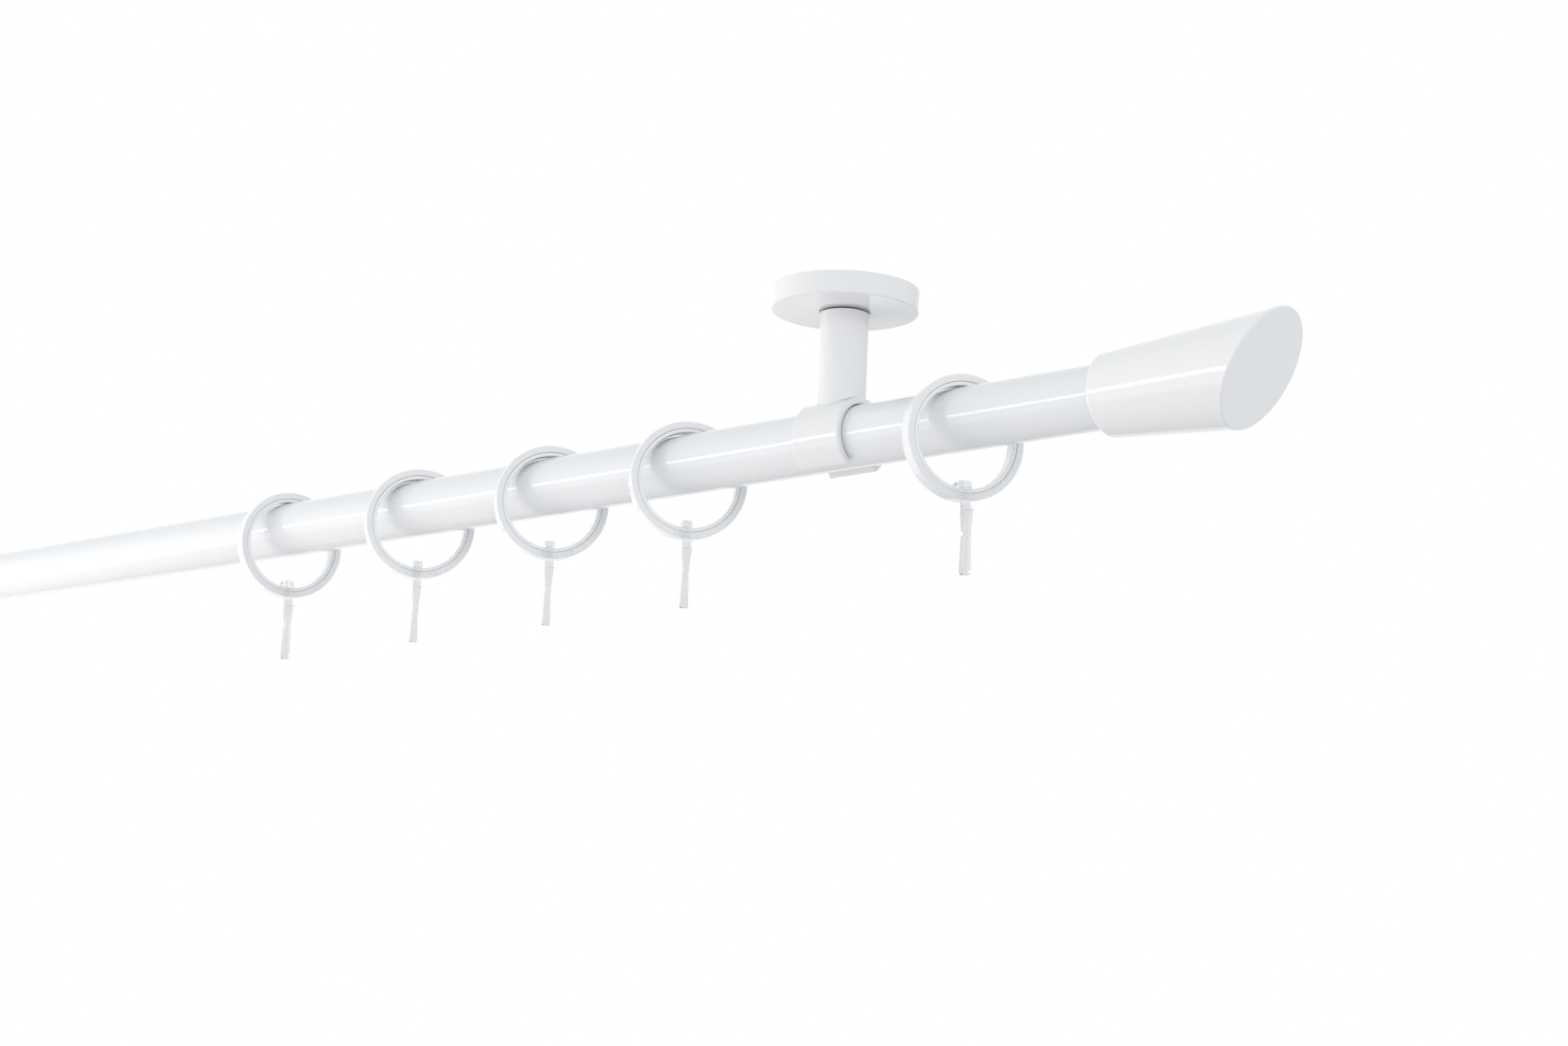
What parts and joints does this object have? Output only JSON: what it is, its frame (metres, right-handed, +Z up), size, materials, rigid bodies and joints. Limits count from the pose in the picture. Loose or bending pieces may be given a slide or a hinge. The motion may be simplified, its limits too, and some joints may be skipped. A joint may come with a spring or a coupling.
{
  "type": "curtain rod with ceiling brackets",
  "caption": "Ceiling-hung round curtain rod with post brackets, slant-cut tapered finials, and lined sliding rings that carry clear curtain hooks",
  "frame": {"origin": "on the ceiling plane, midway between the two brackets' screw plates", "axes": "+X along the rod to the right, +Y to the back, +Z up into the ceiling"},
  "size_m": [1.2776, 0.0476, 0.099],
  "materials": {
    "white_lacquer": "glossy white powder coat on steel",
    "ring_lacquer": "satin white coat on steel rings",
    "white_plastic": "glossy white moulded plastic",
    "liner_plastic": "smooth pale glide plastic",
    "clear_plastic": "clear moulded plastic",
    "zinc_steel": "zinc-plated steel",
    "black_rubber": "matt black rubber"
  },
  "bodies": {
    "rod_and_brackets": {"rod_tube": "white_lacquer", "left_mounting_plate": "zinc_steel", "left_stem": "white_lacquer", "left_rubber_ring": "black_rubber", "left_clip": "white_lacquer", "left_stem_screw": "zinc_steel", "left_clip_screw": "zinc_steel", "left_clamp_screw": "zinc_steel", "right_mounting_plate": "zinc_steel", "right_stem": "white_lacquer", "right_rubber_ring": "black_rubber", "right_clip": "white_lacquer", "right_stem_screw": "zinc_steel", "right_clip_screw": "zinc_steel", "right_clamp_screw": "zinc_steel"},
    "left_cover": {"left_rosette": "white_lacquer"},
    "left_end": {"left_finial": "white_plastic", "left_finial_screw": "zinc_steel"},
    "right_cover": {"right_rosette": "white_lacquer"},
    "right_end": {"right_finial": "white_plastic", "right_finial_screw": "zinc_steel"},
    "ring_body_01": {"ring_01": "ring_lacquer", "liner_01": "liner_plastic"},
    "hook_body_01": {"hook_01": "clear_plastic"},
    "ring_body_02": {"ring_02": "ring_lacquer", "liner_02": "liner_plastic"},
    "hook_body_02": {"hook_02": "clear_plastic"},
    "ring_body_03": {"ring_03": "ring_lacquer", "liner_03": "liner_plastic"},
    "hook_body_03": {"hook_03": "clear_plastic"},
    "ring_body_04": {"ring_04": "ring_lacquer", "liner_04": "liner_plastic"},
    "hook_body_04": {"hook_04": "clear_plastic"},
    "ring_body_05": {"ring_05": "ring_lacquer", "liner_05": "liner_plastic"},
    "hook_body_05": {"hook_05": "clear_plastic"},
    "ring_body_06": {"ring_06": "ring_lacquer", "liner_06": "liner_plastic"},
    "hook_body_06": {"hook_06": "clear_plastic"},
    "ring_body_07": {"ring_07": "ring_lacquer", "liner_07": "liner_plastic"},
    "hook_body_07": {"hook_07": "clear_plastic"},
    "ring_body_08": {"ring_08": "ring_lacquer", "liner_08": "liner_plastic"},
    "hook_body_08": {"hook_08": "clear_plastic"},
    "ring_body_09": {"ring_09": "ring_lacquer", "liner_09": "liner_plastic"},
    "hook_body_09": {"hook_09": "clear_plastic"},
    "ring_body_10": {"ring_10": "ring_lacquer", "liner_10": "liner_plastic"},
    "hook_body_10": {"hook_10": "clear_plastic"}
  },
  "joints": [
    {"name": "left_cover_slide", "type": "slide", "parent": "rod_and_brackets", "child": "left_cover", "axis": [0, 0, -1], "range_m": [0, 0.027]},
    {"name": "left_end_pull", "type": "slide", "parent": "rod_and_brackets", "child": "left_end", "axis": [-1, 0, 0], "range_m": [0, 0.022]},
    {"name": "right_cover_slide", "type": "slide", "parent": "rod_and_brackets", "child": "right_cover", "axis": [0, 0, -1], "range_m": [0, 0.027]},
    {"name": "right_end_pull", "type": "slide", "parent": "rod_and_brackets", "child": "right_end", "axis": [1, 0, 0], "range_m": [0, 0.022]},
    {"name": "ring_01_slide", "type": "slide", "parent": "rod_and_brackets", "child": "ring_body_01", "axis": [1, 0, 0], "range_m": [-0.0453, 0.0301]},
    {"name": "hook_01_swing", "type": "hinge", "parent": "ring_body_01", "child": "hook_body_01", "pos_m": [-0.519, 0, -0.05527], "axis": [-0.9135, -0.4067, 0], "range_deg": [-75, 75]},
    {"name": "ring_02_slide", "type": "slide", "parent": "rod_and_brackets", "child": "ring_body_02", "axis": [1, 0, 0], "range_m": [-0.0438, 0.0405]},
    {"name": "hook_02_swing", "type": "hinge", "parent": "ring_body_02", "child": "hook_body_02", "pos_m": [-0.401, 0, -0.05496], "axis": [-0.848, -0.5299, 0], "range_deg": [-75, 75]},
    {"name": "ring_03_slide", "type": "slide", "parent": "rod_and_brackets", "child": "ring_body_03", "axis": [1, 0, 0], "range_m": [-0.0405, 0.0443]},
    {"name": "hook_03_swing", "type": "hinge", "parent": "ring_body_03", "child": "hook_body_03", "pos_m": [-0.335, 0, -0.05503], "axis": [-0.8572, -0.515, 0], "range_deg": [-75, 75]},
    {"name": "ring_04_slide", "type": "slide", "parent": "rod_and_brackets", "child": "ring_body_04", "axis": [1, 0, 0], "range_m": [-0.0443, 0.0535]},
    {"name": "hook_04_swing", "type": "hinge", "parent": "ring_body_04", "child": "hook_body_04", "pos_m": [-0.266, 0, -0.05513], "axis": [-0.8746, -0.4848, 0], "range_deg": [-75, 75]},
    {"name": "ring_05_slide", "type": "slide", "parent": "rod_and_brackets", "child": "ring_body_05", "axis": [1, 0, 0], "range_m": [-0.0535, 0.3671]},
    {"name": "hook_05_swing", "type": "hinge", "parent": "ring_body_05", "child": "hook_body_05", "pos_m": [-0.192, 0, -0.05535], "axis": [-0.9563, -0.2924, 0], "range_deg": [-75, 75]},
    {"name": "ring_06_slide", "type": "slide", "parent": "rod_and_brackets", "child": "ring_body_06", "axis": [1, 0, 0], "range_m": [-0.3671, 0.0535]},
    {"name": "hook_06_swing", "type": "hinge", "parent": "ring_body_06", "child": "hook_body_06", "pos_m": [0.192, 0, -0.05535], "axis": [0.9563, -0.2924, 0], "range_deg": [-75, 75]},
    {"name": "ring_07_slide", "type": "slide", "parent": "rod_and_brackets", "child": "ring_body_07", "axis": [1, 0, 0], "range_m": [-0.0535, 0.0443]},
    {"name": "hook_07_swing", "type": "hinge", "parent": "ring_body_07", "child": "hook_body_07", "pos_m": [0.266, 0, -0.05513], "axis": [0.8746, -0.4848, 0], "range_deg": [-75, 75]},
    {"name": "ring_08_slide", "type": "slide", "parent": "rod_and_brackets", "child": "ring_body_08", "axis": [1, 0, 0], "range_m": [-0.0443, 0.0405]},
    {"name": "hook_08_swing", "type": "hinge", "parent": "ring_body_08", "child": "hook_body_08", "pos_m": [0.335, 0, -0.05503], "axis": [0.8572, -0.515, 0], "range_deg": [-75, 75]},
    {"name": "ring_09_slide", "type": "slide", "parent": "rod_and_brackets", "child": "ring_body_09", "axis": [1, 0, 0], "range_m": [-0.0405, 0.0438]},
    {"name": "hook_09_swing", "type": "hinge", "parent": "ring_body_09", "child": "hook_body_09", "pos_m": [0.401, 0, -0.05496], "axis": [0.848, -0.5299, 0], "range_deg": [-75, 75]},
    {"name": "ring_10_slide", "type": "slide", "parent": "rod_and_brackets", "child": "ring_body_10", "axis": [1, 0, 0], "range_m": [-0.0301, 0.0453]},
    {"name": "hook_10_swing", "type": "hinge", "parent": "ring_body_10", "child": "hook_body_10", "pos_m": [0.519, 0, -0.05527], "axis": [0.9135, -0.4067, 0], "range_deg": [-75, 75]}
  ]
}
